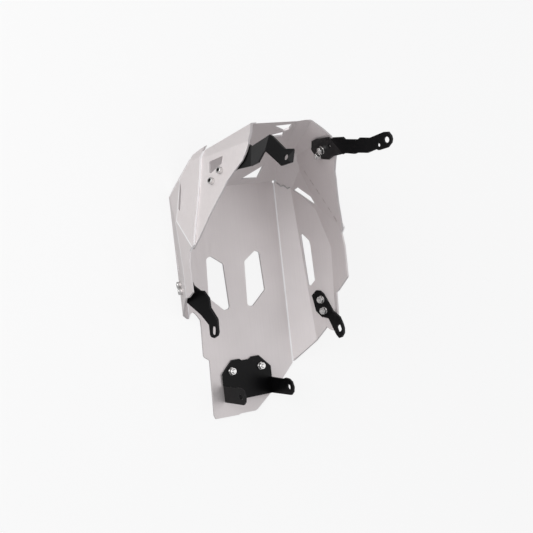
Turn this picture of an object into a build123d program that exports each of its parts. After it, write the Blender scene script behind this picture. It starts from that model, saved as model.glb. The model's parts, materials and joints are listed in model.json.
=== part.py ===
from build123d import *
from math import cos, radians, sin
import os

os.makedirs("parts", exist_ok=True)

# Sheets
tray_sheet = 3.0
shell_sheet = 3.0
bracket_sheet = 3.0

# Belly: flat underside at Z = 0, front bend line at Y = 0, centre plane at X = 0
belly_half_width = 90.0
tray_bend = 3.0
shell_bend = 5.0
relief_hole = 5.0

# Front faces
front_angle = 47.0
upper_front_angle = 72.0
front_break_y = 44.0
front_break_z = 51.2
front_top_y = 77.8
wall_top_z = 112.0
tab_reach = 5.0
stitch_bead = 4.0
seam_bead = 2.2

# Screws, washers and nuts, M6
screw_diameter = 6.0
screw_hole = 6.6
head_diameter = 10.0
head_height = 6.0
socket_size = 5.0
socket_depth = 3.0
washer_diameter = 12.0
washer_thickness = 1.2
nut_size = 10.0
nut_height = 5.0
nut_bore = 6.1
thread_past_nut = 2.0
countersunk_head = 12.0
countersunk_depth = 2.7
sunk_socket_size = 4.0
sunk_socket_depth = 2.0
countersunk_clearance = 0.2

# Mounting holes on the motorcycle side
front_hole = 8.5
rear_hole = 8.5
side_slot_width = 6.6
pin_hole = 5.0
ear_half_gap = 42.5
ear_hole_y = -321.6
ear_hole_z = 55.7

# Cutting blocks and outlines run well past the part
reach = 2 * belly_half_width + 20

# One place on each side panel: X from the belly's side edge, then Y and Z
wall_place = (20, -20, 24)
left_wall_place = (18.4, -20, 24)
wall_top_place = (45, -120, 79)
wing_low_place = (18.8, -9.3, 21.6)
wing_place = (13.4, 16.6, 63)
wing_rear_place = (36.6, -54.4, 73.8)
side_front_place = (-14.8, 46.5, 205)
upper_corner_place = (-44.5, 64.5, 93.2)


def panel(yaw, lean, through):
    """Inside face of a folded panel; yaw turns its outward normal forward, lean tips it down."""
    yaw = radians(yaw)
    lean = radians(lean)
    normal = (cos(yaw) * cos(lean), sin(yaw) * cos(lean), -sin(lean))
    return Plane(origin=through, z_dir=normal)


def side_panel(yaw, lean, place):
    """Panel through a place given from the belly's right side edge."""
    return panel(yaw, lean, (belly_half_width + place[0], place[1], place[2]))


def other_side(plane):
    """The same panel on the left side."""
    at = plane.origin
    way = plane.z_dir
    return Plane(origin=(-at.X, at.Y, at.Z), z_dir=(-way.X, way.Y, way.Z))


# Inside faces of the folded sheet, right side; the left wall stands further in than the right one
belly = Plane(origin=(0, 0, tray_sheet), z_dir=(0, 0, -1))
lower_front = panel(90, 90 - front_angle, (0, 0, tray_sheet))
upper_front = panel(90, 90 - upper_front_angle, (0, front_break_y, front_break_z))
edge_strip = panel(0, 45, (belly_half_width, 0, tray_sheet))
wall = side_panel(1.55, 22.3, wall_place)
left_wall = side_panel(-0.35, 22.3, left_wall_place)
wall_top = side_panel(0, 1.7, wall_top_place)
lower_corner = panel(37.07, 20.6, (belly_half_width, 0, tray_sheet))
wing_low = side_panel(17.1, 5.6, wing_low_place)
wing = side_panel(19.6, -7.6, wing_place)
wing_rear = side_panel(8.0, 1.6, wing_rear_place)
side_front = side_panel(38.7, -3.9, side_front_place)
upper_corner = side_panel(68.95, 9.6, upper_corner_place)
middle_panels = [belly, lower_front]
side_panels = [edge_strip, wall_top, lower_corner, wing_low, wing, wing_rear, side_front]
tray_panels = middle_panels + [wall] + side_panels + [other_side(p) for p in [left_wall] + side_panels]
shell_panels = [upper_front, upper_corner, other_side(upper_corner)]
tray_bends = [(belly, edge_strip), (edge_strip, wall), (wall, wall_top), (edge_strip, left_wall),
              (left_wall, wall_top), (wing_low, wing)]
shell_bends = [(upper_front, upper_corner), (upper_corner, side_front), (side_front, wing)]


def bend_edges(block, pairs, tray_grow, shell_grow):
    """Edges where the named pairs of panels meet, both sides of the centre plane."""
    found = []
    for edge in block.edges():
        at = edge.center()
        right = Vector(abs(at.X), at.Y, at.Z)
        for pair in pairs:
            off = []
            for face in pair:
                grow = shell_grow if face in (upper_front, upper_corner) else tray_grow
                off.append(abs((right - face.origin).dot(face.z_dir) - grow))
            if max(off) < 0.01:
                found.append(edge)
    return found


def folded_block(tray_grow, shell_grow, tray_radius=0.0, shell_radius=0.0):
    """Solid inside the folded faces, the faces moved outwards by the grow values, bends rounded."""
    with BuildPart() as block:
        with Locations((0, -0.75 * reach, 0.75 * reach)):
            Box(2 * reach, 3 * reach, 2 * reach)
        for face in tray_panels:
            split(bisect_by=face.offset(tray_grow), keep=Keep.BOTTOM)
        for face in shell_panels:
            split(bisect_by=face.offset(shell_grow), keep=Keep.BOTTOM)
        if tray_radius > 0:
            fillet(bend_edges(block, tray_bends, tray_grow, shell_grow), tray_radius)
        if shell_radius > 0:
            fillet(bend_edges(block, shell_bends, tray_grow, shell_grow), shell_radius)
    return block.part


def side_prism(outline, near, far):
    """Outline in side view (Y, Z) drawn out along X from near to far."""
    with BuildPart() as prism:
        with BuildSketch(Plane.YZ.offset(near)):
            with BuildLine():
                Polyline(*outline, close=True)
            make_face()
        extrude(amount=far - near)
    return prism.part


def plan_prism(outline, corner, low, high):
    """Outline in plan (X, Y) with rounded corners, drawn up from low to high."""
    with BuildPart() as prism:
        with BuildSketch(Plane.XY.offset(low)) as sketch:
            with BuildLine():
                Polyline(*outline, close=True)
            make_face()
            if corner > 0:
                fillet(sketch.vertices(), corner)
        extrude(amount=high - low)
    return prism.part


def mirrored_outline(outline):
    """Plan outline on the left side."""
    return [(-x, y) for x, y in outline]


def on_face(face, y, z):
    """Point of a panel plane at the given side-view place."""
    at = face.origin
    way = face.z_dir
    return Vector(at.X - (way.Y * (y - at.Y) + way.Z * (z - at.Z)) / way.X, y, z)


def on_front(face, x, z):
    """Point of a front panel plane at the given front-view place."""
    at = face.origin
    way = face.z_dir
    return Vector(x, at.Y - (way.X * (x - at.X) + way.Z * (z - at.Z)) / way.Y, z)


def square_cut(face, points):
    """Opening through a panel, cut square to it; the points lie on the panel plane."""
    places = [face.to_local_coords(point) for point in points]
    with BuildPart() as cut:
        with BuildSketch(face):
            with BuildLine():
                Polyline(*[(place.X, place.Y) for place in places], close=True)
            make_face()
        extrude(amount=8, both=True)
    return cut.part


mould = folded_block(0, 0, tray_bend, shell_bend)
tray_outside = folded_block(tray_sheet, 0, tray_bend + tray_sheet, 0)
shell_inside = folded_block(-shell_sheet, -shell_sheet, 0, shell_bend - shell_sheet)

# Screw places in side view (Y, Z) or plan (X, Y)
front_left_places = [(15.7, 148.2), (2.7, 133.1)]
front_right_places = [(36.0, 163.5), (29.0, 147.0)]
side_left_places = [(-142.0, 37.5), (-151.0, 47.5)]
side_right_places = [(-195.0, 51.0), (-213.0, 53.5)]
rear_places = [(-27.0, -288.0), (27.0, -288.0)]


def stations(face, places, outer):
    """Planes on a panel's outer face at the screw places, facing outwards."""
    return [Plane(origin=on_face(face.offset(outer), y, z), z_dir=face.z_dir) for y, z in places]


front_left_stations = stations(other_side(wing), front_left_places, 0)
front_right_stations = stations(wing, front_right_places, 0)
side_left_stations = stations(other_side(left_wall), side_left_places, tray_sheet)
side_right_stations = stations(wall, side_right_places, tray_sheet)
rear_stations = [Plane(origin=(x, y, 0), z_dir=(0, 0, -1)) for x, y in rear_places]


def through_holes(planes, diameter):
    """Clearance holes along the screw axes, for cutting."""
    with BuildPart() as holes:
        for plane in planes:
            with Locations(plane):
                Cylinder(diameter / 2, 40)
    return holes.part


# Tray: belly, edge strips, walls, wings and lower front folded from one sheet
tray_top = [(-460, -20), (120, -20), (120, 93), (57, 93), (43.9, 95.0), (28.9, 98.8),
            (-2.7, 106.2), (-64.5, 117.0), (-84, 121), (-93, wall_top_z), (-460, wall_top_z)]
right_end = [(-161, 160), (-161, 112.6), (-182.5, 85.3), (-185, 79.5), (-220, 77.5), (-246.2, 64.1),
             (-245, 60), (-239.7, 53.4), (-258.5, 34.6), (-290.8, 3.0), (-290.8, -20), (-470, -20),
             (-470, 160)]
left_end = [(-150.8, 160), (-150.8, 112), (-158.2, 98), (-160, 80), (-171, 54), (-186, 24), (-197, 3.0),
            (-197, -20), (-470, -20), (-470, 160)]
tail_side = belly_half_width + 2
tail = [(-tail_side, -197), (-belly_half_width, -197), (-86.3, -189.5), (-81.3, -188), (-75.8, -193.5),
        (-70.5, -202), (-70.2, -213.3), (-71.9, -255.7), (-70.7, -259.9), (-62.4, -265.9), (-65.3, -350.5),
        (-62.8, -357), (-21.1, -358), (-15.3, -356.5), (10.3, -357), (14.9, -355), (67.9, -314.7),
        (tail_side, -290.8), (tail_side, -470), (-tail_side, -470)]
belly_slot = [(19.5, -120.5), (40.8, -106), (48.7, -109.2), (51.9, -169.9), (26.1, -192.6), (16.4, -191)]
wall_slot = [(-90, 29), (-88, 31.5), (-99.6, 42), (-107, 43.5), (-164, 43.5), (-173, 34), (-170, 31)]
left_wall_slot = [(-90, 31), (-88, 33), (-99.6, 42), (-107, 43.5), (-117, 43.5), (-124, 36), (-121, 31)]
corner_slot = [(-17.1, 25.8), (-13.3, 37), (-31.2, 60), (-42.4, 63.3), (-42.4, 59.4)]
bend_slot = [(10, 58.2), (-4, 66.5), (-34, 73), (-30, 68.6)]
lower_window = [(24, 11.4), (55.5, 10.3), (57.5, 30.5)]

tab_outline = [(36, 66), (42.5, 64), (57.5, 91.5), (43.9, 94), (36, 95)]
with BuildPart() as tabs:
    add(folded_block(tray_sheet, tab_reach))
    add(folded_block(0, 2 * tab_reach), mode=Mode.SUBTRACT)
    add(side_prism(tab_outline, -reach, reach), mode=Mode.INTERSECT)
wing_tabs = tabs.part

with BuildPart() as belly_tray:
    add(tray_outside)
    add(mould, mode=Mode.SUBTRACT)
    add(side_prism(tray_top, -reach, reach), mode=Mode.INTERSECT)
    add(wing_tabs)
    add(side_prism(right_end, belly_half_width, reach), mode=Mode.SUBTRACT)
    add(side_prism(left_end, -reach, -belly_half_width), mode=Mode.SUBTRACT)
    add(plan_prism(tail, 0, -10, 20), mode=Mode.SUBTRACT)
    for outline in (belly_slot, mirrored_outline(belly_slot)):
        add(plan_prism(outline, 5, -10, 20), mode=Mode.SUBTRACT)
    for face, outline in ((wall, wall_slot), (other_side(left_wall), left_wall_slot)):
        add(square_cut(face, [on_face(face, y, z) for y, z in outline]), mode=Mode.SUBTRACT)
    add(side_prism(corner_slot, 100, 160), mode=Mode.SUBTRACT)
    add(side_prism(bend_slot, -160, -100), mode=Mode.SUBTRACT)
    for side in (1, -1):
        add(square_cut(lower_front, [on_front(lower_front, side * x, z) for x, z in lower_window]),
            mode=Mode.SUBTRACT)
    with Locations((belly_half_width, 0, tray_sheet), (-belly_half_width, 0, tray_sheet)):
        Cylinder(relief_hole / 2, 30, mode=Mode.SUBTRACT)
    add(through_holes(side_left_stations + side_right_stations, screw_hole), mode=Mode.SUBTRACT)
    for plane in rear_stations:
        with Locations(plane.offset(-tray_sheet / 2)):
            Cylinder(screw_hole / 2, 20, mode=Mode.SUBTRACT)
        with Locations(plane.offset(-countersunk_depth / 2)):
            Cone(screw_hole / 2, countersunk_head / 2, countersunk_depth, mode=Mode.SUBTRACT)

# Upper shell: front panel, corner facets and side panels, lapped inside the tray's wings
shell_side = [(front_top_y, 43), (40, 43), (28, 64), (11.6, 74), (-22.5, 90), (-60, 108), (-90, 116),
              (-88, 119), (-76, 126), (-44, 141), (-21.4, 154), (-11, 160.5), (0, 166), (11, 176.5),
              (25, 191), (33, 194.5), (47, 198), (63, 190), (front_top_y, 177.5)]
side_window = [(36.4, 145), (31.5, 116.5), (16.7, 121), (14.6, 125.5), (26, 146)]
front_window = [(5, 152), (31, 155.5), (36, 149.3), (38.5, 137.3), (32, 132.3), (10, 145.8)]
front_slit = [(16, 120.5), (33.5, 129.4), (38, 121), (41.3, 114.2), (20.8, 112.2)]

with BuildPart() as front_shield:
    add(mould)
    add(shell_inside, mode=Mode.SUBTRACT)
    add(side_prism(shell_side, -reach, reach), mode=Mode.INTERSECT)
    add(side_prism(side_window, -160, -60), mode=Mode.SUBTRACT)
    for outline in (front_window, front_slit):
        add(square_cut(upper_front, [on_front(upper_front, x, z) for x, z in outline]), mode=Mode.SUBTRACT)
    add(through_holes(front_left_stations + front_right_stations, screw_hole), mode=Mode.SUBTRACT)


def bead(first, second, diameter):
    """Short weld bead between two points."""
    first, second = Vector(first), Vector(second)
    along = second - first
    with BuildPart() as run:
        with Locations(Plane(origin=first + along * 0.5, z_dir=along)):
            Cylinder(diameter / 2, along.length)
    return run.part


# Welds: stitches along the shell's lower edges, a zigzag seam in each corner, stitches on the front lap
stitch_line = [(10.0, 74.8), (-58.0, 107.0)]
stitch_starts = [0.0, 0.22, 0.44, 0.66, 0.88]
stitch_share = 0.12
corner_seam = [(4, -2.8), (8.4, -8.9), (11, -7.7), (15.6, -13.9), (18, -12.6)]
front_stitches = [(-62, -48), (-7, 7), (48, 62)]

with BuildPart() as weld_beads:
    line_start = on_face(wing, *stitch_line[0])
    line_run = on_face(wing, *stitch_line[1]) - line_start
    for start in stitch_starts:
        stitch_start = line_start + line_run * start
        add(bead(stitch_start, stitch_start + line_run * stitch_share, stitch_bead))
    seam = [(belly_half_width + x, y, tray_sheet + x) for x, y in corner_seam]
    for first, second in zip(seam, seam[1:]):
        add(bead(first, second, seam_bead))
    mirror(about=Plane.YZ)
    for first, second in front_stitches:
        lap = (front_break_y, front_break_z)
        add(bead((first, *lap), (second, *lap), stitch_bead))
    add(belly_tray.part, mode=Mode.SUBTRACT)
    add(front_shield.part, mode=Mode.SUBTRACT)


def facet(first, second, third):
    """Middle plane of a bracket leg through two ends of its fold and a third point."""
    first, second, third = Vector(first), Vector(second), Vector(third)
    along = second - first
    return Plane(origin=first, x_dir=along, z_dir=along.cross(third - first))


def leg(face, outline):
    """Flat leg of a bracket: side-view outline cut to the sheet about its middle plane."""
    with BuildPart() as piece:
        add(side_prism(outline, -reach, reach))
        split(bisect_by=face.offset(bracket_sheet / 2), keep=Keep.BOTTOM)
        split(bisect_by=face.offset(-bracket_sheet / 2), keep=Keep.TOP)
    return piece.part


def fold(first, second):
    """Rounded outside of a fold between two legs."""
    along = second - first
    with BuildPart() as rod:
        with Locations(Plane(origin=first + along * 0.5, z_dir=along)):
            Cylinder(bracket_sheet / 2, along.length)
    return rod.part


def cross_hole(face, y, z, diameter):
    """Round hole square through a leg."""
    with BuildPart() as hole:
        with Locations(Plane(origin=on_face(face, y, z), z_dir=face.z_dir)):
            Cylinder(diameter / 2, 20)
    return hole.part


def cross_slot(face, start, end, width):
    """Slotted hole square through a leg, from start to end of its centre line in side view."""
    first = on_face(face, *start)
    second = on_face(face, *end)
    centre = first + (second - first) * 0.5
    with BuildPart() as slot:
        with BuildSketch(Plane(origin=centre, x_dir=second - first, z_dir=face.z_dir)):
            SlotCenterToCenter((second - first).length, width)
        extrude(amount=10, both=True)
    return slot.part


bracket_under_shell = folded_block(-shell_sheet - bracket_sheet, -shell_sheet - bracket_sheet)
bracket_under_tray = folded_block(-bracket_sheet, -bracket_sheet)
shell_bracket_middle = shell_sheet + bracket_sheet / 2

# Front left bracket: foot inside the side panel, turned in over its edge, then up to the mounting hole
left_foot = other_side(wing).offset(-shell_bracket_middle)
edge_ends = [(47, 193), (14, 176)]
up_ends = [(43, 199), (16, 200)]
top_ends = [(55.5, 222), (34.3, 217.5)]
turn_in_place = (-70, 30, 199.5)
slope_place = (-54, 45, 221)
front_left_eye = (-55, 20.6, 260.7)
edge_fold = [on_face(left_foot, *end) for end in edge_ends]
turn_in = facet(*edge_fold, turn_in_place)
up_fold = [on_face(turn_in, *end) for end in up_ends]
slope = facet(*up_fold, slope_place)
top_fold = [on_face(slope, *end) for end in top_ends]
upright = facet(*top_fold, front_left_eye)
foot_outline = [*edge_ends, (-9, 142), (-7.5, 127), (3, 122.5), (16, 134), (27, 152), (38, 166), (48, 184)]
turn_in_outline = [*edge_ends, *reversed(up_ends)]
slope_outline = [up_ends[0], (47.7, 207.7), *top_ends, (31.9, 215), (19.6, 209), up_ends[1]]
upright_outline = [top_ends[0], (53.1, 227.3), (32.4, 256), (30.6, 272.3), (27.2, 273.7), (12.4, 273.7),
                   (9.9, 254.3), (14.4, 248), top_ends[1]]

with BuildPart() as front_bracket_left:
    add(shell_inside)
    add(side_prism(foot_outline, -reach, -20), mode=Mode.INTERSECT)
    add(bracket_under_shell, mode=Mode.SUBTRACT)
    add(leg(turn_in, turn_in_outline))
    add(leg(slope, slope_outline))
    add(leg(upright, upright_outline))
    add(fold(*edge_fold))
    add(fold(*up_fold))
    add(fold(*top_fold))
    add(front_shield.part, mode=Mode.SUBTRACT)
    add(through_holes(front_left_stations, screw_hole), mode=Mode.SUBTRACT)
    add(cross_hole(upright, *front_left_eye[1:], front_hole), mode=Mode.SUBTRACT)

# Front right bracket: foot inside the side panel, arm folded out over its edge
right_foot = wing.offset(-shell_bracket_middle)
arm_ends = [(45.5, 199), (22.4, 216.5)]
front_right_eye = (94.7, 32.5, 292.2)
pin_place = (26.8, 278.2)
spare_place = (37, 187)
arm_fold = [on_face(right_foot, *end) for end in arm_ends]
arm = facet(*arm_fold, front_right_eye)
right_foot_outline = [(50.5, 160), (49, 146), (38.5, 130), (34, 131), (23, 138), (18.5, 168), (22, 183),
                      *reversed(arm_ends), (49.5, 193)]
arm_outline = [arm_ends[0], (48, 203.3), (46.4, 219.7), (42.7, 222.9), (39.5, 244.9), (41.5, 248.7),
               (39, 265.2), (43.8, 289.4), (43.2, 296.6), (37.4, 300.5), (32.7, 301.2), (27.6, 299.5),
               (21.8, 292.5), (19.7, 277), (21.7, 272.8), (18.4, 257.5), (20.8, 240.7), (19.7, 236),
               (22.7, 220.9), arm_ends[1]]

with BuildPart() as front_bracket_right:
    add(shell_inside)
    add(side_prism(right_foot_outline, 20, reach), mode=Mode.INTERSECT)
    add(bracket_under_shell, mode=Mode.SUBTRACT)
    add(leg(arm, arm_outline))
    add(fold(*arm_fold))
    add(front_shield.part, mode=Mode.SUBTRACT)
    add(through_holes(front_right_stations, screw_hole), mode=Mode.SUBTRACT)
    add(cross_hole(right_foot, *spare_place, screw_hole), mode=Mode.SUBTRACT)
    add(cross_hole(arm, *front_right_eye[1:], front_hole), mode=Mode.SUBTRACT)
    add(cross_hole(arm, *pin_place, pin_hole), mode=Mode.SUBTRACT)

# Left side bracket: foot low on the wall, arm folded in and run back to a slotted hole
left_wall_foot = other_side(left_wall).offset(-bracket_sheet / 2)
left_arm_ends = [(-134, 58), (-167, 58)]
left_arm_place = (-105, -210, 103)
left_arm_fold = [on_face(left_wall_foot, *end) for end in left_arm_ends]
left_arm = facet(*left_arm_fold, left_arm_place)
left_wall_outline = [left_arm_ends[0], (-131, 46), (-133, 35), (-140, 33), (-152, 38), (-160, 44),
                     left_arm_ends[1]]
left_arm_outline = [left_arm_ends[0], (-133.5, 63.9), (-136.1, 71.4), (-143.6, 74.7), (-151.2, 85.6),
                    (-151.9, 92.4), (-162.9, 100.7), (-176.9, 101), (-191, 109.9), (-194.5, 111.7),
                    (-213.2, 110.8), (-218, 108.4), (-221.3, 101.8), (-219.7, 97.2), (-215.9, 95.4),
                    (-201.7, 95.5), (-186.8, 82.9), left_arm_ends[1]]
left_slot = [(-207.2, 103.3), (-213.6, 102.1)]

with BuildPart() as side_bracket_left:
    add(mould)
    add(side_prism(left_wall_outline, -reach, -20), mode=Mode.INTERSECT)
    add(bracket_under_tray, mode=Mode.SUBTRACT)
    add(leg(left_arm, left_arm_outline))
    add(fold(*left_arm_fold))
    add(belly_tray.part, mode=Mode.SUBTRACT)
    add(through_holes(side_left_stations, screw_hole), mode=Mode.SUBTRACT)
    add(cross_slot(left_arm, *left_slot, side_slot_width), mode=Mode.SUBTRACT)

# Right side bracket: foot high on the wall, arm folded in past the wall's end
right_wall_foot = wall.offset(-bracket_sheet / 2)
right_arm_ends = [(-214, 69.2), (-222.5, 49.8)]
right_arm_place = (125, -240.4, 92.9)
right_arm_fold = [on_face(right_wall_foot, *end) for end in right_arm_ends]
right_arm = facet(*right_arm_fold, right_arm_place)
right_wall_outline = [(-188, 37.5), (-180, 46), (-181, 52), (-186, 57), *right_arm_ends, (-213, 41.5),
                      (-195, 39)]
right_arm_outline = [right_arm_ends[1], (-225.5, 65.9), (-241.8, 82.1), (-250.5, 91), (-255, 97.5),
                     (-253.5, 102.5), (-247.5, 104.8), (-240, 102), (-234.3, 97.7), (-223.3, 87.3),
                     right_arm_ends[0]]
right_slot = [(-238, 90.9), (-242.8, 94.9)]

with BuildPart() as side_bracket_right:
    add(mould)
    add(side_prism(right_wall_outline, 20, reach), mode=Mode.INTERSECT)
    add(bracket_under_tray, mode=Mode.SUBTRACT)
    add(leg(right_arm, right_arm_outline))
    add(fold(*right_arm_fold))
    add(belly_tray.part, mode=Mode.SUBTRACT)
    add(through_holes(side_right_stations, screw_hole), mode=Mode.SUBTRACT)
    add(cross_slot(right_arm, *right_slot, side_slot_width), mode=Mode.SUBTRACT)

# Rear bracket: plate on the belly with two upright ears
ear_outer = ear_half_gap + bracket_sheet
plate_outline = [(-25, -271), (-11, -271), (-7, -274), (7, -274), (11, -271), (25, -271), (ear_outer, -291),
                 (ear_outer, -334), (-ear_outer, -334), (-ear_outer, -291)]
plate_top = tray_sheet + bracket_sheet
ear_outline = [(-271, 0), (-271, plate_top), (-308.5, plate_top), (-309.5, 42), (-307.5, 48), (-308.5, 58),
               (-313, 65.5), (-321, 68.5), (-329, 66.5), (-334, 60), (-335, 50), (-334, 0)]

with BuildPart() as rear_bracket:
    with BuildSketch(Plane.XZ.offset(reach)):
        with Locations((0, tray_sheet)):
            Rectangle(2 * ear_outer, reach, align=(Align.CENTER, Align.MIN))
        with Locations((0, plate_top)):
            Rectangle(2 * ear_half_gap, reach, align=(Align.CENTER, Align.MIN), mode=Mode.SUBTRACT)
    extrude(amount=reach)
    add(plan_prism(plate_outline, 0, 0, 100), mode=Mode.INTERSECT)
    add(side_prism(ear_outline, -100, 100), mode=Mode.INTERSECT)
    fillet(rear_bracket.edges().filter_by(Axis.Y).group_by(Axis.Z)[0], bracket_sheet * 1.5)
    with Locations(Plane.YZ):
        with Locations((ear_hole_y, ear_hole_z)):
            Cylinder(rear_hole / 2, 200, mode=Mode.SUBTRACT)
    add(through_holes(rear_stations, screw_hole), mode=Mode.SUBTRACT)


def cap_screws(planes, grip):
    """Socket cap screws, heads on the outer face."""
    length = grip + washer_thickness + nut_height + thread_past_nut
    with BuildPart() as screws:
        for plane in planes:
            with BuildSketch(plane):
                Circle(head_diameter / 2)
            extrude(amount=head_height)
            with BuildSketch(plane.offset(head_height)):
                RegularPolygon(socket_size / 2, 6, major_radius=False)
            extrude(amount=-socket_depth, mode=Mode.SUBTRACT)
            with BuildSketch(plane):
                Circle(screw_diameter / 2)
            extrude(amount=-length)
    return screws


def countersunk_screws(planes, grip):
    """Countersunk screws, heads flush with the belly's underside."""
    length = grip + washer_thickness + nut_height + thread_past_nut
    with BuildPart() as screws:
        for plane in planes:
            with BuildSketch(plane):
                Circle(countersunk_head / 2 - countersunk_clearance)
            with BuildSketch(plane.offset(-countersunk_depth)):
                Circle(screw_diameter / 2)
            loft()
            with BuildSketch(plane):
                RegularPolygon(sunk_socket_size / 2, 6, major_radius=False)
            extrude(amount=-sunk_socket_depth, mode=Mode.SUBTRACT)
            with BuildSketch(plane.offset(-countersunk_depth)):
                Circle(screw_diameter / 2)
            extrude(amount=countersunk_depth - length)
    return screws


def washers(planes, grip):
    """Plain washers under the nuts."""
    with BuildPart() as rings:
        for plane in planes:
            with BuildSketch(plane.offset(-grip)):
                Circle(washer_diameter / 2)
                Circle(screw_hole / 2, mode=Mode.SUBTRACT)
            extrude(amount=-washer_thickness)
    return rings


def nuts(planes, grip):
    """Hexagon nuts on the bracket side."""
    with BuildPart() as hexes:
        for plane in planes:
            with BuildSketch(plane.offset(-grip - washer_thickness)):
                RegularPolygon(nut_size / 2, 6, major_radius=False)
                Circle(nut_bore / 2, mode=Mode.SUBTRACT)
            extrude(amount=-nut_height)
    return hexes


shell_grip = shell_sheet + bracket_sheet
tray_grip = tray_sheet + bracket_sheet
pieces = {
    "belly_tray": belly_tray,
    "front_shield": front_shield,
    "weld_beads": weld_beads,
    "front_bracket_left": front_bracket_left,
    "front_bracket_right": front_bracket_right,
    "side_bracket_left": side_bracket_left,
    "side_bracket_right": side_bracket_right,
    "rear_bracket": rear_bracket,
}
sets = {
    "front_left": (front_left_stations, shell_grip, cap_screws),
    "front_right": (front_right_stations, shell_grip, cap_screws),
    "side_left": (side_left_stations, tray_grip, cap_screws),
    "side_right": (side_right_stations, tray_grip, cap_screws),
    "rear": (rear_stations, tray_grip, countersunk_screws),
}
for place, (planes, grip, screws) in sets.items():
    pieces[place + "_screws"] = screws(planes, grip)
    pieces[place + "_washers"] = washers(planes, grip)
    pieces[place + "_nuts"] = nuts(planes, grip)

for name, piece in pieces.items():
    piece.part.label = name
    export_step(piece.part, "parts/" + name + ".step")
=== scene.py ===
import json

import bmesh
import bpy
import numpy as np
from mathutils import Matrix

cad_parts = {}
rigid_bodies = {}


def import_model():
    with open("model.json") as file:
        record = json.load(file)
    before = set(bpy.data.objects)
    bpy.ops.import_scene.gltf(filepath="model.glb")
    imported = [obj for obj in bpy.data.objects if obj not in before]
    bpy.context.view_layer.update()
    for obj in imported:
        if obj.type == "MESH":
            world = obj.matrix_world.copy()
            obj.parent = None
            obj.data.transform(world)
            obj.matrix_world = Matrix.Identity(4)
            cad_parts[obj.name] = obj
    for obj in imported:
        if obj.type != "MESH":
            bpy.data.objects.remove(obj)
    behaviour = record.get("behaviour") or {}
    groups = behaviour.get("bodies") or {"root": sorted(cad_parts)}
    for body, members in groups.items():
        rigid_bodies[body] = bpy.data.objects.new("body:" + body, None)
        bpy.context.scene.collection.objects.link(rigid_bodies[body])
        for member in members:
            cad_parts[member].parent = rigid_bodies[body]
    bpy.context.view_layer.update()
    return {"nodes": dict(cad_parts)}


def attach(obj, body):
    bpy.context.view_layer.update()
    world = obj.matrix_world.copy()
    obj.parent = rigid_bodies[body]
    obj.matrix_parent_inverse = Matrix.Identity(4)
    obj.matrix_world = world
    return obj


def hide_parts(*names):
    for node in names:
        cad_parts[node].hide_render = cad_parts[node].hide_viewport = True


for leftover in list(bpy.data.objects):
    bpy.data.objects.remove(leftover)
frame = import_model()

# Belly tray: the belly, its edge strips, the side walls and the lower front in one piece.
# It is laser cut from sheet aluminium, folded on a press and bead blasted to a fine silver grain,
# so the panels and cut edges are matt. The outside bends and the wings' upper edges carry a painted
# highlight: a near-white colour that stands in for the light those bends catch.
edge_radius = 0.0004
least_bend, most_bend = np.radians((9.0, 50.0))
noise_low, noise_high = 0.3, 0.7
wing_panel = (19.6, -7.6, (103.4, 16.6, 63.0))
stitch_line = ((10.0, 74.8), (-58.0, 107.0))
stitch_spacing = 0.22
tray_fold_x, tray_fold_reach = 0.090, 0.003
wing_edge_back, wing_edge_low = -0.088, 0.094
blasted_dull, blasted_bright = (0.745, 0.70, 0.697), (0.795, 0.75, 0.747)
blasted_rough = (0.50, 0.60)
cut_dull, cut_bright = (0.64, 0.605, 0.605), (0.71, 0.675, 0.675)
cut_rough = (0.42, 0.50)
# Painted highlight: near-white colours on the outside bends, standing in for the light the convex bends
# catch.
highlight_dull, highlight_bright = (0.95, 0.94, 0.945), (0.99, 0.985, 0.99)
bend_rough = (0.34, 0.42)


def shader_node(tree, kind, sockets=None, **settings):
    """One shader node with its settings; a socket takes a constant or the output that feeds it."""
    made = tree.nodes.new(kind)
    for name, value in settings.items():
        setattr(made, name, value)
    for name, value in (sockets or {}).items():
        if isinstance(value, bpy.types.NodeSocket):
            tree.links.new(value, made.inputs[name])
        else:
            made.inputs[name].default_value = value
    return made


def reckon(tree, operation, *values):
    """Output of a math node."""
    return shader_node(tree, "ShaderNodeMath", dict(enumerate(values)), operation=operation).outputs[0]


def spread(tree, value, low, high, at_low=0.0, at_high=1.0, **settings):
    """Output that runs from at_low to at_high while the value runs from low to high."""
    return shader_node(tree, "ShaderNodeMapRange", {
        "Value": value, "From Min": low, "From Max": high, "To Min": at_low, "To Max": at_high},
        **settings).outputs["Result"]


def blend(tree, factor, low, high):
    """Output colour between two colours, each a constant or an output."""
    low_socket, high_socket, mixed_socket = 6, 7, 2
    return shader_node(tree, "ShaderNodeMix", {
        "Factor": factor, low_socket: low, high_socket: high}, data_type="RGBA").outputs[mixed_socket]


def blasted_grain_group():
    """Bead-blasted sheet: wide soft clouds, streaks along the rolling direction and fine pits, 0 to 1."""
    group = bpy.data.node_groups.new("blasted_grain", "ShaderNodeTree")
    group.interface.new_socket("Pit Scale", in_out="INPUT", socket_type="NodeSocketFloat")
    for name in ("Cloud", "Streak", "Pits"):
        group.interface.new_socket(name, in_out="OUTPUT", socket_type="NodeSocketFloat")
    pit_scale = shader_node(group, "NodeGroupInput").outputs["Pit Scale"]
    place = shader_node(group, "ShaderNodeTexCoord").outputs["Object"]
    rolled = shader_node(group, "ShaderNodeMapping", {"Vector": place, "Scale": (520.0, 14.0, 520.0)})
    cloud = shader_node(group, "ShaderNodeTexNoise", {"Vector": place, "Scale": 16.0, "Detail": 3.0})
    streak = shader_node(group, "ShaderNodeTexNoise", {
        "Vector": rolled.outputs["Vector"], "Scale": 1.0, "Detail": 2.0})
    pits = shader_node(group, "ShaderNodeTexNoise", {
        "Vector": place, "Scale": pit_scale, "Detail": 2.0, "Roughness": 0.6})
    leave = shader_node(group, "NodeGroupOutput", {
        "Cloud": cloud.outputs["Fac"], "Streak": streak.outputs["Fac"], "Pits": pits.outputs["Fac"]})
    leave.is_active_output = True
    return group


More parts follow.
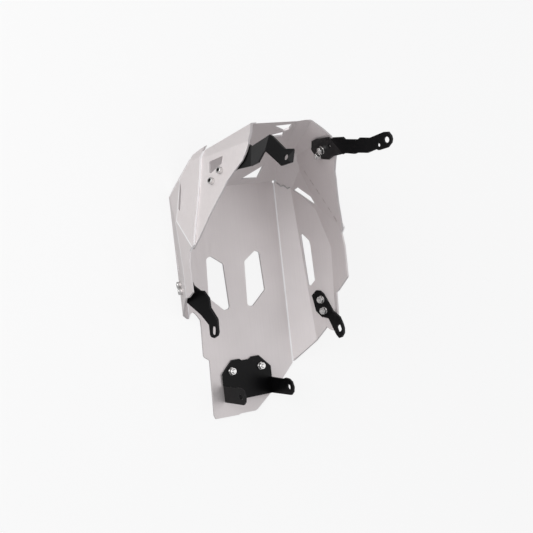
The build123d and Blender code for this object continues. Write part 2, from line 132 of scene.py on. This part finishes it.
def weld_heat_group():
    """Heat marks beside the stitch welds: 1 on a stitch, 0 away from the line.

    The line runs from Start along Direction; places are folded to the right side, so both sides match.
    Outward is the panel's normal: the marks stay on the inner side.
    """
    raggedness = 0.006
    full_gap = 0.003
    mark_gone, mark_full = 0.72, 0.50
    before_line, line_begun = -0.008, -0.002
    past_line, line_full = 0.100, 0.092
    inner_depth = 0.0015
    group = bpy.data.node_groups.new("weld_heat", "ShaderNodeTree")
    for name in ("Start", "Direction", "Outward"):
        group.interface.new_socket(name, in_out="INPUT", socket_type="NodeSocketVector")
    for name in ("Stitch Pitch", "Reach"):
        group.interface.new_socket(name, in_out="INPUT", socket_type="NodeSocketFloat")
    group.interface.new_socket("Heat", in_out="OUTPUT", socket_type="NodeSocketFloat")
    entry = shader_node(group, "NodeGroupInput").outputs
    place = shader_node(group, "ShaderNodeTexCoord").outputs["Object"]
    apart = shader_node(group, "ShaderNodeSeparateXYZ", {0: place}).outputs
    right = shader_node(group, "ShaderNodeCombineXYZ", {
        "X": reckon(group, "ABSOLUTE", apart["X"]), "Y": apart["Y"], "Z": apart["Z"]}).outputs[0]
    away = shader_node(group, "ShaderNodeVectorMath", {
        0: right, 1: entry["Start"]}, operation="SUBTRACT").outputs[0]
    along = shader_node(group, "ShaderNodeVectorMath", {
        0: away, 1: entry["Direction"]}, operation="DOT_PRODUCT").outputs["Value"]
    foot = shader_node(group, "ShaderNodeVectorMath", {
        0: entry["Direction"], "Scale": along}, operation="SCALE").outputs[0]
    gap = shader_node(group, "ShaderNodeVectorMath", {
        0: away, 1: foot}, operation="DISTANCE").outputs["Value"]
    depth = shader_node(group, "ShaderNodeVectorMath", {
        0: away, 1: entry["Outward"]}, operation="DOT_PRODUCT").outputs["Value"]
    ragged = shader_node(group, "ShaderNodeTexNoise", {"Vector": place, "Scale": 260.0, "Detail": 2.0})
    uneven = reckon(group, "MULTIPLY_ADD", ragged.outputs["Fac"], raggedness, gap)
    step = reckon(group, "FRACT", reckon(group, "DIVIDE", along, entry["Stitch Pitch"]))
    heat = spread(group, uneven, entry["Reach"], full_gap, interpolation_type="SMOOTHSTEP")
    for mask in (spread(group, step, mark_gone, mark_full, interpolation_type="SMOOTHSTEP"),
                 spread(group, along, past_line, line_full),
                 spread(group, along, before_line, line_begun),
                 reckon(group, "LESS_THAN", depth, inner_depth)):
        heat = reckon(group, "MULTIPLY", heat, mask)
    shader_node(group, "NodeGroupOutput", {"Heat": heat}).is_active_output = True
    return group


def panel_places(yaw, lean, through, outward, side, places):
    """Points on a panel and the outward normal at each.

    The panel passes through a point in millimetres, moved outward by so many metres; the places are
    (Y, Z) in side view, in millimetres; side is 1 for the right and -1 for the left.
    """
    yaw, lean = np.radians(yaw), np.radians(lean)
    normal = np.array((np.cos(yaw) * np.cos(lean), np.sin(yaw) * np.cos(lean), -np.sin(lean)))
    origin = np.array(through) / 1000 + normal * outward
    y, z = np.array(places).T / 1000
    x = origin[0] - (normal[1] * (y - origin[1]) + normal[2] * (z - origin[2])) / normal[0]
    hand = np.array((side, 1.0, 1.0))
    return np.stack((x, y, z), axis=1) * hand, np.tile(normal * hand, (len(y), 1))


blasted_grain = blasted_grain_group()
weld_heat = weld_heat_group()
(stitch_start, stitch_end), (wing_normal, _) = panel_places(*wing_panel, 0.0, 1, stitch_line)
stitch_run = stitch_end - stitch_start
stitch_length = np.linalg.norm(stitch_run)


def new_material(name, pit_scale):
    """Empty material, its node tree and the outputs of the blasted grain in it."""
    material = bpy.data.materials.new(name)
    material.use_nodes = True
    tree = material.node_tree
    tree.nodes.clear()
    grain = shader_node(tree, "ShaderNodeGroup", {"Pit Scale": pit_scale}, node_tree=blasted_grain)
    return material, tree, grain.outputs


def sheet_material(name, dull, bright, roughness, pit_scale, heat_reach, metallic=0.6):
    """Matt blasted aluminium: cloudy grey, faint rolling streaks, pits, brown marks at the welds."""
    heat_brown = (0.42, 0.36, 0.335, 1.0)
    material, tree, grain = new_material(name, pit_scale)
    heat = shader_node(tree, "ShaderNodeGroup", {
        "Start": stitch_start, "Direction": stitch_run / stitch_length, "Outward": wing_normal,
        "Stitch Pitch": stitch_spacing * stitch_length, "Reach": heat_reach}, node_tree=weld_heat)
    tone = spread(tree, reckon(tree, "ADD", grain["Cloud"], grain["Streak"]), 0.7, 1.3)
    grey = blend(tree, tone, (*dull, 1.0), (*bright, 1.0))
    bump = shader_node(tree, "ShaderNodeBump", {
        "Height": grain["Pits"], "Strength": 0.25, "Distance": 0.0002})
    surface = shader_node(tree, "ShaderNodeBsdfPrincipled", {
        "Base Color": blend(tree, heat.outputs["Heat"], grey, heat_brown), "Metallic": metallic,
        "Roughness": spread(tree, grain["Streak"], noise_low, noise_high, *roughness),
        "Normal": bump.outputs["Normal"]})
    shader_node(tree, "ShaderNodeOutputMaterial", {"Surface": surface.outputs["BSDF"]})
    return material


def mark_edges(shape, highlight_test):
    """Give cut edges the second material and outside bends the third.

    A strip is first parted off along both sides of each outside crease, so that the crease shows as a
    line of its own; on the tray the third material is a painted highlight. Inside bends and cut edges
    take the third material too where the test given as the last argument holds for the centre of the face.
    """
    strip_width = 0.0008
    least_length = 0.0080
    narrow = 0.0042
    creases = [line for line in shape.edges if least_bend < line.calc_face_angle_signed(0.0) < most_bend]
    for line in sorted(creases, key=lambda one: -one.calc_length()):
        if not line.is_valid or line.calc_length() < least_length:
            continue
        first = line.verts[0].co.copy()
        along = (line.verts[1].co - first).normalized()
        for face in list(line.link_faces):
            across = face.normal.cross(along)
            if (face.calc_center_median() - first).dot(across) < 0:
                across.negate()
            bmesh.ops.bisect_plane(shape, geom=[face, *face.edges, *face.verts], dist=1e-7,
                                   plane_co=first + across * strip_width, plane_no=across)
    shape.normal_update()
    for face in shape.faces:
        longest = max(face.edges, key=lambda one: one.calc_length())
        bend = longest.calc_face_angle(0.0) < most_bend
        turned_out = sum(line.calc_face_angle_signed(0.0) * line.calc_length() for line in face.edges)
        # Faces where the test holds take the third material, on the tray the painted highlight.
        in_highlight = highlight_test(face.calc_center_median())
        if 2 * face.calc_area() < narrow * face.calc_perimeter() and (turned_out > 0 or in_highlight):
            face.material_index = 2 if bend or in_highlight else 1


def faulty_corners(shape):
    """Corners of faces whose triangles overlap, and ends of edges where two faces fold back."""
    overlap_share, overlap_area = 1.01, 2e-8
    folded_back = np.radians(130.0)
    split = shape.calc_loop_triangles()
    corners = np.array([[corner.vert.co for corner in three] for three in split])
    owners = np.array([three[0].face.index for three in split])
    sides = corners[:, 1:] - corners[:, :1]
    areas = np.linalg.norm(np.cross(sides[:, 0], sides[:, 1]), axis=1) / 2
    covered = np.bincount(owners, areas, len(shape.faces))
    own = np.array([face.calc_area() for face in shape.faces])
    overlapping = covered > overlap_share * own + overlap_area
    faults = [end.co for face in shape.faces if overlapping[face.index] for end in face.verts]
    faults += [end.co for line in shape.edges if line.calc_face_angle(0.0) > folded_back
               for end in line.verts]
    return np.array(faults).reshape(-1, 3)


def broken_edges(shape):
    """Copy of a shape with its sharp edges broken by the edge radius, wherever that finds room.

    Edges near a faulty corner are left sharp, and the rest is tried again until no fault is near.
    """
    clear_distance = 3 * edge_radius
    shape.edges.index_update()
    chosen = np.array([line.index for line in shape.edges
                       if line.calc_face_angle(0.0) > most_bend and line.calc_length() > edge_radius])
    ends = np.array([[end.co for end in line.verts] for line in shape.edges])
    while True:
        broken = shape.copy()
        broken.edges.ensure_lookup_table()
        bmesh.ops.bevel(broken, geom=[broken.edges[line] for line in chosen], offset=edge_radius,
                        offset_type="OFFSET", segments=2, profile=0.5, affect="EDGES",
                        clamp_overlap=False, material=1)
        broken.normal_update()
        broken.faces.index_update()
        faults = faulty_corners(broken)
        first, run = ends[chosen, :1], ends[chosen, 1:] - ends[chosen, :1]
        share = ((faults[None] - first) * run).sum(-1, keepdims=True) / (run ** 2).sum(-1, keepdims=True)
        away = np.linalg.norm(first + np.clip(share, 0.0, 1.0) * run - faults[None], axis=-1)
        clear = away.min(axis=1, initial=1.0) > clear_distance
        if clear.all():
            return broken
        broken.free()
        chosen = chosen[clear]


def add_piece(name, mesh, node):
    """A new piece of the part's one body, in place of a node."""
    piece = bpy.data.objects.new(name, mesh)
    bpy.context.scene.collection.objects.link(piece)
    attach(piece, "root")
    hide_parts(node)


def finished_sheet(node, finishes, highlight_test=lambda centre: False):
    """A node's own shape with its triangles merged to flat faces and its sharp edges broken.

    The finishes are those of the panels, the cut edges and the bends; on the tray the bends' finish is a
    painted highlight.
    """
    same_place = 1e-6
    flat = np.radians(0.6)
    mesh = frame["nodes"][node].data.copy()
    mesh.name = node + "_finished"
    normals = mesh.attributes.get("custom_normal")
    if normals:
        mesh.attributes.remove(normals)
    mesh.materials.clear()
    for finish in finishes:
        mesh.materials.append(finish)
    shape = bmesh.new()
    shape.from_mesh(mesh)
    bmesh.ops.remove_doubles(shape, verts=shape.verts, dist=same_place)
    bmesh.ops.dissolve_limit(shape, angle_limit=flat, verts=shape.verts, edges=shape.edges)
    mark_edges(shape, highlight_test)
    broken = broken_edges(shape)
    broken.to_mesh(mesh)
    shape.free()
    broken.free()
    mesh.shade_smooth()
    mesh.set_sharp_from_angle(angle=least_bend)
    add_piece(node + "_finished", mesh, node)


def tray_highlight_places(centre):
    """Where the tray takes the painted highlight: the fold beside the belly and the upper edges of the
    wings, which lie against the shield.
    """
    at_fold = abs(abs(centre.x) - tray_fold_x) < tray_fold_reach
    return at_fold or (centre.y > wing_edge_back and centre.z > wing_edge_low)


tray_finish = sheet_material("tray_blasted", blasted_dull, blasted_bright, blasted_rough,
                             pit_scale=900.0, heat_reach=0.007)
cut_finish = sheet_material("cut_edge", cut_dull, cut_bright, cut_rough, pit_scale=1400.0, heat_reach=0.0035)
# Painted highlight: the near-white bend material on the tray's outside bends and wing edges stands in for
# the light they catch.
bend_highlight_finish = sheet_material("painted_bend_highlight", highlight_dull, highlight_bright, bend_rough,
                             pit_scale=1400.0, heat_reach=0.0035, metallic=0.25)
finished_sheet("belly_tray", (tray_finish, cut_finish, bend_highlight_finish), tray_highlight_places)

# Front shield: the upper front, its corner facets and the side panels, folded from a second sheet.
# It is lapped inside the tray's wings and front, then stitch welded; the same blasting covers it.
shield_finish = sheet_material("shield_blasted", blasted_dull, blasted_bright, blasted_rough,
                               pit_scale=1000.0, heat_reach=0.009)
finished_sheet("front_shield", (shield_finish, cut_finish, shield_finish))

# Weld beads: short stitches of aluminium along the shield's lower edges and the front lap, and a zigzag
# seam in each lower corner, laid by hand in overlapping ripples.
stitch_count = 5
stitch_share = 0.12
stitch_radius = 0.0020
stitch_ripple = 0.0016
seam_radius = 0.0011
seam_ripple = 0.0011
corner_seam = np.array(((94.0, -2.8, 7.0), (98.4, -8.9, 11.4), (101.0, -7.7, 14.0), (105.6, -13.9, 18.6),
                        (108.0, -12.6, 21.0))) / 1000
lap_y = 0.0440
lap_z = 0.0512
lap_stitches = np.array(((-62.0, -48.0), (-7.0, 7.0), (48.0, 62.0))) / 1000
other_hand = np.array((-1.0, 1.0, 1.0))


def around(count):
    """Angles of so many even steps round a circle."""
    return np.linspace(0.0, 2 * np.pi, count, endpoint=False)


def cross_axes(ways):
    """Two directions square to each given direction and to each other."""
    near_upright = 0.9
    upright = np.abs(ways[:, 2:3]) >= near_upright
    first = np.cross(np.where(upright, (1.0, 0.0, 0.0), (0.0, 0.0, 1.0)), ways)
    first /= np.linalg.norm(first, axis=1, keepdims=True)
    return first, np.cross(ways, first)


def grid_mesh(name, points, finishes, wrap_rows=False, second_rows=0):
    """One mesh of several grids: points is (grids, rows, columns, 3); columns wrap round, rows may.

    The first second_rows rows of faces take the second finish.
    """
    same_place = 1e-7
    crease = np.radians(38.0)
    grids, rows, columns, _ = points.shape
    index = np.arange(grids * rows * columns).reshape(grids, rows, columns)
    across = np.roll(index, -1, axis=2)
    lower = np.roll(index, -1, axis=1)
    corner = np.roll(across, -1, axis=1)
    quads = np.stack((index, across, corner, lower), axis=-1)
    if not wrap_rows:
        quads = quads[:, :-1]
    mesh = bpy.data.meshes.new(name)
    mesh.from_pydata(points.reshape(-1, 3), [], quads.reshape(-1, 4).tolist())
    for finish in finishes:
        mesh.materials.append(finish)
    row = np.broadcast_to(np.arange(quads.shape[1])[None, :, None], quads.shape[:3])
    mesh.polygons.foreach_set("material_index", (row < second_rows).astype(np.int32).ravel())
    shape = bmesh.new()
    shape.from_mesh(mesh)
    bmesh.ops.remove_doubles(shape, verts=shape.verts, dist=same_place)
    bmesh.ops.recalc_face_normals(shape, faces=shape.faces)
    shape.to_mesh(mesh)
    shape.free()
    mesh.shade_smooth()
    mesh.set_sharp_from_angle(angle=crease)
    return mesh


def bead_grids(starts, ends, radius, ripple):
    """Tubes between points: the radius closes as a half circle at both ends and swells once per ripple."""
    steps, sides = 41, 16
    swell = 0.12
    ripple_lag = 0.25
    run = ends - starts
    length = np.linalg.norm(run, axis=1)
    ways = run / length[:, None]
    first, second = cross_axes(ways)
    share = np.linspace(0.0, 1.0, steps)
    angle = around(sides)
    place = -radius + share[None, :] * (length[:, None] + 2 * radius)
    inside = np.clip(np.minimum(place + radius, length[:, None] + radius - place) / radius, 0.0, 1.0)
    close = np.sqrt(1.0 - (1.0 - inside) ** 2)
    lag = ripple_lag * ripple * np.abs(np.cos(angle))
    wave = np.abs(np.sin(np.pi * (place[:, :, None] + lag[None, None, :]) / ripple))
    size = radius * close[:, :, None] * (1.0 - swell + swell * wave)
    return (starts[:, None, None, :] + place[:, :, None, None] * ways[:, None, None, :]
            + (size * np.cos(angle))[..., None] * first[:, None, None, :]
            + (size * np.sin(angle))[..., None] * second[:, None, None, :])


def weld_material():
    """Bare weld metal: brighter than the sheet, uneven gloss, dark oxide in the dips."""
    oxide, bright = (0.36, 0.34, 0.33, 1.0), (0.66, 0.65, 0.66, 1.0)
    oxide_rough, bright_rough = 0.55, 0.35
    material, tree, grain = new_material("weld_metal", pit_scale=1500.0)
    tone = spread(tree, grain["Pits"], 0.35, 0.65)
    rough = spread(tree, grain["Pits"], noise_low, noise_high, oxide_rough, bright_rough)
    surface = shader_node(tree, "ShaderNodeBsdfPrincipled", {
        "Base Color": blend(tree, tone, oxide, bright), "Metallic": 0.9, "Roughness": rough})
    shader_node(tree, "ShaderNodeOutputMaterial", {"Surface": surface.outputs["BSDF"]})
    return material


stitch_from = stitch_start + stitch_spacing * np.arange(stitch_count)[:, None] * stitch_run
stitch_to = stitch_from + stitch_share * stitch_run
lap_ends = np.stack(np.broadcast_arrays(lap_stitches, lap_y, lap_z), axis=-1)
seam_from, seam_to = corner_seam[:-1], corner_seam[1:]
stitch_grids = bead_grids(np.concatenate((stitch_from, stitch_from * other_hand, lap_ends[:, 0])),
                          np.concatenate((stitch_to, stitch_to * other_hand, lap_ends[:, 1])),
                          stitch_radius, stitch_ripple)
seam_grids = bead_grids(np.concatenate((seam_from, seam_from * other_hand)),
                        np.concatenate((seam_to, seam_to * other_hand)), seam_radius, seam_ripple)
weld_metal = weld_material()
for name, grids in (("stitch_welds", stitch_grids), ("corner_seams", seam_grids)):
    add_piece(name, grid_mesh(name, grids, (weld_metal,)), "weld_beads")

# Brackets: five mounting brackets cut and folded from steel plate, powder coated satin black.
# The coat has a fine orange-peel texture and wears thin and grey along its edges.
coat_black, coat_dusty = (0.0018, 0.0017, 0.0020), (0.0040, 0.0038, 0.0043)
worn_black, worn_dusty = (0.010, 0.0095, 0.0105), (0.030, 0.029, 0.030)
coat_rough = (0.30, 0.38)


def powder_coat_material(name, black, dusty):
    """Satin black powder coat: orange-peel bump, cloudy gloss, faint dust."""
    material, tree, grain = new_material(name, pit_scale=650.0)
    dust = spread(tree, grain["Cloud"], 0.35, 0.75)
    rough = spread(tree, grain["Cloud"], noise_low, noise_high, *coat_rough)
    bump = shader_node(tree, "ShaderNodeBump", {
        "Height": grain["Pits"], "Strength": 0.30, "Distance": 0.00025})
    surface = shader_node(tree, "ShaderNodeBsdfPrincipled", {
        "Base Color": blend(tree, dust, (*black, 1.0), (*dusty, 1.0)), "Specular IOR Level": 0.15,
        "Roughness": rough, "Normal": bump.outputs["Normal"]})
    shader_node(tree, "ShaderNodeOutputMaterial", {"Surface": surface.outputs["BSDF"]})
    return material


powder_coat = powder_coat_material("black_powder_coat", coat_black, coat_dusty)
worn_coat = powder_coat_material("worn_coat_edge", worn_black, worn_dusty)
for bracket in ("front_bracket_left", "front_bracket_right", "side_bracket_left", "side_bracket_right",
                "rear_bracket"):
    finished_sheet(bracket, (powder_coat, worn_coat, powder_coat))

# Screws: stainless M6 cap screws with knurled heads, a hexagon socket and a rolled thread.
# Four pairs pass through a panel and a bracket; the rear pair is countersunk flush with the belly.
tray_sheet = 0.0030
shell_sheet = 0.0030
bracket_sheet = 0.0030
wall_panel = (1.55, 22.3, (110.0, -20.0, 24.0))
left_wall_panel = (-0.35, 22.3, (108.4, -20.0, 24.0))
front_left_places = ((15.7, 148.2), (2.7, 133.1))
front_right_places = ((36.0, 163.5), (29.0, 147.0))
side_left_places = ((-142.0, 37.5), (-151.0, 47.5))
side_right_places = ((-195.0, 51.0), (-213.0, 53.5))
rear_points = np.array(((-0.027, -0.288, 0.0), (0.027, -0.288, 0.0)))
screw_sets = {
    "front_left": (*panel_places(*wing_panel, 0.0, -1, front_left_places), shell_sheet),
    "front_right": (*panel_places(*wing_panel, 0.0, 1, front_right_places), shell_sheet),
    "side_left": (*panel_places(*left_wall_panel, tray_sheet, -1, side_left_places), tray_sheet),
    "side_right": (*panel_places(*wall_panel, tray_sheet, 1, side_right_places), tray_sheet),
    "rear": (rear_points, np.tile((0.0, 0.0, -1.0), (2, 1)), tray_sheet),
}
screw_radius = 0.0030
thread_pitch = 0.0010
thread_depth = 0.00055
cap_head = {"head_radius": 0.0050, "head_height": 0.0060, "socket": 0.0050, "socket_depth": 0.0030}
sunk_head = {"head_radius": 0.0058, "cone_depth": 0.0027, "socket": 0.0040, "socket_depth": 0.0020}
socket_tip = 0.0006
socket_rows = 3
chamfer = 0.0002
washer_thickness = 0.0012
nut_height = 0.0050
past_nut = 0.0020
steel_stained, steel_clean = (0.60, 0.59, 0.58), (0.80, 0.79, 0.785)
# Painted shade: near-black colours for the inside of the screw sockets, standing in for the shade in the
# recess.
socket_shade_dark, socket_shade_light = (0.030, 0.028, 0.027), (0.075, 0.072, 0.070)


def hexagon(angle, across_flats):
    """Radius of a hexagon at each angle, from its width across flats."""
    turn = np.mod(angle + np.pi / 6, np.pi / 3) - np.pi / 6
    return across_flats / 2 / np.cos(turn)


def placed(local, points, normals):
    """Copies of a grid (rows, columns, 3) with its Z along each normal, at each point."""
    first, second = cross_axes(normals)
    axes = np.stack((first, second, normals), axis=1)
    return points[:, None, None, :] + np.einsum("rck,tkd->trcd", local, axes)


def spun(rows, angle):
    """Grid from rows of a radius and a height, spun round Z; a radius is one number or one per angle."""
    radius = np.array([np.broadcast_to(row[0], angle.shape) for row in rows])
    height = np.broadcast_to(np.array([row[1] for row in rows])[:, None], radius.shape)
    return np.stack((radius * np.cos(angle), radius * np.sin(angle), height), axis=-1)


def thread_rows(top, lead, length, angle):
    """Rows of a thread down from top, after a short lead, to a chamfered tip that closes at length."""
    rows_per_turn = 6
    tip_length = 0.0008
    tip_share = 0.86
    height = -np.linspace(top + lead, length, int((length - top) / thread_pitch * rows_per_turn))
    phase = np.mod(height[:, None] / thread_pitch + angle / (2 * np.pi), 1.0)
    groove = thread_depth * (1.0 - np.abs(2.0 * phase - 1.0))
    tip = np.clip((height + length) / tip_length, 0.0, 1.0)[:, None]
    radius = (screw_radius - groove) * (tip_share + (1.0 - tip_share) * tip)
    return [*zip(radius, height), (0.0, -length)]


def cap_screw_grid(head_radius, head_height, socket, socket_depth, length):
    """Cap screw along Z, head up: socket, flat top, rounded rim, knurled side, then the thread."""
    sides = 72
    shank_lead = 0.0003
    rim = 0.0006
    rim_turn = 0.00025
    knurl_top = 0.0007
    knurl_depth = 0.00018
    angle = around(sides)
    flats = hexagon(angle, socket)
    floor_z = head_height - socket_depth
    knurl = head_radius - knurl_depth * (np.arange(len(angle)) % 2)
    rows = [(0.0, floor_z - socket_tip), (flats, floor_z), (flats, head_height - chamfer),
            (flats + chamfer, head_height), (head_radius - rim, head_height),
            (head_radius - rim_turn, head_height - rim_turn), (knurl, head_height - knurl_top),
            (knurl, rim), (head_radius - chamfer, chamfer), (head_radius - 2 * chamfer, 0.0),
            (screw_radius, 0.0)]
    return spun(rows + thread_rows(0.0, shank_lead, length, angle), angle)


def sunk_screw_grid(head_radius, cone_depth, socket, socket_depth, length):
    """Countersunk screw along Z: socket, flat top at 0, cone down to the shank, then the thread."""
    sides = 36
    shank_lead = 0.0002
    angle = around(sides)
    flats = hexagon(angle, socket)
    rows = [(0.0, -socket_depth - socket_tip), (flats, -socket_depth), (flats, -chamfer),
            (flats + chamfer, 0.0), (head_radius - chamfer, 0.0), (head_radius, -chamfer),
            (screw_radius, -cone_depth)]
    return spun(rows + thread_rows(cone_depth, shank_lead, length, angle), angle)


def stainless_material(name, stained, clean, stained_rough, clean_rough):
    """Turned stainless steel with fine tool marks and slight stain; with near-black colours it gives the
    painted shade inside the screw sockets.
    """
    material, tree, grain = new_material(name, pit_scale=2200.0)
    tone = spread(tree, grain["Pits"], noise_low, noise_high)
    rough = spread(tree, grain["Pits"], noise_low, noise_high, stained_rough, clean_rough)
    surface = shader_node(tree, "ShaderNodeBsdfPrincipled", {
        "Base Color": blend(tree, tone, (*stained, 1.0), (*clean, 1.0)), "Metallic": 1.0,
        "Roughness": rough})
    shader_node(tree, "ShaderNodeOutputMaterial", {"Surface": surface.outputs["BSDF"]})
    return material


stainless = stainless_material("stainless", steel_stained, steel_clean, 0.26, 0.16)
# The socket faces of each screw take this near-black finish as painted shade in the recess.
socket_shade_finish = stainless_material("painted_socket_shade", socket_shade_dark, socket_shade_light, 0.55, 0.35)
for place, (points, normals, sheet) in screw_sets.items():
    length = sheet + bracket_sheet + washer_thickness + nut_height + past_nut
    if place == "rear":
        screw = sunk_screw_grid(**sunk_head, length=length)
    else:
        screw = cap_screw_grid(**cap_head, length=length)
    name = place + "_screws_turned"
    screws = grid_mesh(name, placed(screw, points, normals), (stainless, socket_shade_finish), second_rows=socket_rows)
    add_piece(name, screws, place + "_screws")

# Washers: punched stainless rings with rolled edges, one under each nut.
washer_radius = 0.0060
washer_bore = 0.0033
washer_edge = 0.00025


def washer_grid():
    """Ring with its top at 0: a rectangle with cut corners between bore and rim, spun round Z."""
    sides = 40
    section = ((washer_bore + washer_edge, 0.0), (washer_radius - washer_edge, 0.0),
               (washer_radius, -washer_edge), (washer_radius, washer_edge - washer_thickness),
               (washer_radius - washer_edge, -washer_thickness),
               (washer_bore + washer_edge, -washer_thickness),
               (washer_bore, washer_edge - washer_thickness), (washer_bore, -washer_edge))
    return spun(section, around(sides))


for place, (points, normals, sheet) in screw_sets.items():
    seat = points - normals * (sheet + bracket_sheet)
    name = place + "_washers_punched"
    rings = grid_mesh(name, placed(washer_grid(), seat, normals), (stainless,), wrap_rows=True)
    add_piece(name, rings, place + "_washers")

# Nuts: stainless M6 hexagon nuts, chamfered at both faces, on the bracket side.
nut_flats = 0.0100
nut_bore = 0.00305
nut_lead = 0.0005
nut_chamfer = 0.0009
nut_face_share = 0.96


def nut_grid():
    """Hexagon with its top at 0: at each height the radius is the smaller of hexagon and chamfer cone."""
    sides = 72
    chamfer_rows = 4
    angle = around(sides)
    steps = np.linspace(0.0, nut_chamfer, chamfer_rows)
    height = np.concatenate((-steps, steps[::-1] - nut_height))
    depth = np.minimum(-height, nut_height + height)
    face_radius = nut_flats / 2 * nut_face_share
    cone = face_radius + depth / nut_chamfer * (nut_flats / np.sqrt(3) - face_radius)
    outer = np.minimum(hexagon(angle, nut_flats)[None, :], cone[:, None])
    rows = [(nut_bore + nut_lead, 0.0), *zip(outer, height), (nut_bore + nut_lead, -nut_height),
            (nut_bore, nut_lead - nut_height), (nut_bore, -nut_lead)]
    return spun(rows, angle)


for place, (points, normals, sheet) in screw_sets.items():
    seat = points - normals * (sheet + bracket_sheet + washer_thickness)
    name = place + "_nuts_chamfered"
    hexes = grid_mesh(name, placed(nut_grid(), seat, normals), (stainless,), wrap_rows=True)
    add_piece(name, hexes, place + "_nuts")

# Studio: a pale floor that keeps the shadow and shows near white, soft light from above and from
# the front left, and the camera high on the left behind the guard's middle.
floor_half = 30.0
floor_z = -0.0003
floor_corners = [(-floor_half, -floor_half, floor_z), (floor_half, -floor_half, floor_z),
                 (floor_half, floor_half, floor_z), (-floor_half, floor_half, floor_z)]
floor_grey = (0.14, 0.14, 0.14, 1.0)
floor_seen, floor_mirrored = 0.83, 0.42
air_colour = (0.98, 0.98, 1.0, 1.0)
air_left, air_right = 0.56, 0.46
lamps = {
    "key_light": ((-2.0, 0.5, 1.0), 20.5, 1.8),
    "side_light": ((-1.5, 0.9, 0.25), 15.0, 1.25),
    "top_light": ((1.0, -0.1, 2.0), 7.0, 1.6),
}
lamp_aim = np.array((0.0, -0.1, 0.08))
camera_pose = ((0.8343, 0.1142, -0.5394, -0.9004), (-0.1090, 0.9932, 0.0416, -0.0597),
               (0.5405, 0.0241, 0.8410, 1.4999), (0.0, 0.0, 0.0, 1.0))

floor_mesh = bpy.data.meshes.new("studio_floor")
floor_mesh.from_pydata(floor_corners, [], [(0, 1, 2, 3)])
floor_finish = bpy.data.materials.new("studio_paper")
floor_finish.use_nodes = True
paper = floor_finish.node_tree
paper.nodes.clear()
path = shader_node(paper, "ShaderNodeLightPath").outputs
mirrored = reckon(paper, "MULTIPLY", path["Is Glossy Ray"], floor_mirrored)
glow = reckon(paper, "MULTIPLY_ADD", path["Is Camera Ray"], floor_seen, mirrored)
lit = shader_node(paper, "ShaderNodeBsdfDiffuse", {"Color": floor_grey})
shown = shader_node(paper, "ShaderNodeEmission", {"Color": (1.0, 1.0, 1.0, 1.0), "Strength": glow})
total = shader_node(paper, "ShaderNodeAddShader", {0: lit.outputs[0], 1: shown.outputs[0]})
shader_node(paper, "ShaderNodeOutputMaterial", {"Surface": total.outputs[0]})
floor_mesh.materials.append(floor_finish)
floor = bpy.data.objects.new("studio_floor", floor_mesh)
bpy.context.scene.collection.objects.link(floor)

world = bpy.data.worlds.new("studio_air")
world.use_nodes = True
air = world.node_tree
direction = shader_node(air, "ShaderNodeTexCoord").outputs["Generated"]
sideways = shader_node(air, "ShaderNodeSeparateXYZ", {0: direction}).outputs["X"]
background = air.nodes["Background"].inputs
air.links.new(spread(air, sideways, -0.9, 0.9, air_left, air_right), background["Strength"])
background["Color"].default_value = air_colour
bpy.context.scene.world = world
bpy.context.scene.view_settings.view_transform = "Standard"

for name, (at, power, size) in lamps.items():
    lamp = bpy.data.lights.new(name, "AREA")
    lamp.energy = power
    lamp.size = size
    back = np.array(at) - lamp_aim
    back /= np.linalg.norm(back)
    side, up = cross_axes(back[None, :])
    pose = np.eye(4)
    pose[:3] = np.stack((side[0], up[0], back, at), axis=1)
    box = bpy.data.objects.new(name, lamp)
    box.matrix_world = Matrix(pose.tolist())
    bpy.context.scene.collection.objects.link(box)

lens = bpy.data.cameras.new("photo_camera")
lens.lens = 75.36
lens.sensor_width = 36.0
camera = bpy.data.objects.new("photo_camera", lens)
camera.matrix_world = Matrix(camera_pose)
bpy.context.scene.collection.objects.link(camera)
bpy.context.scene.camera = camera
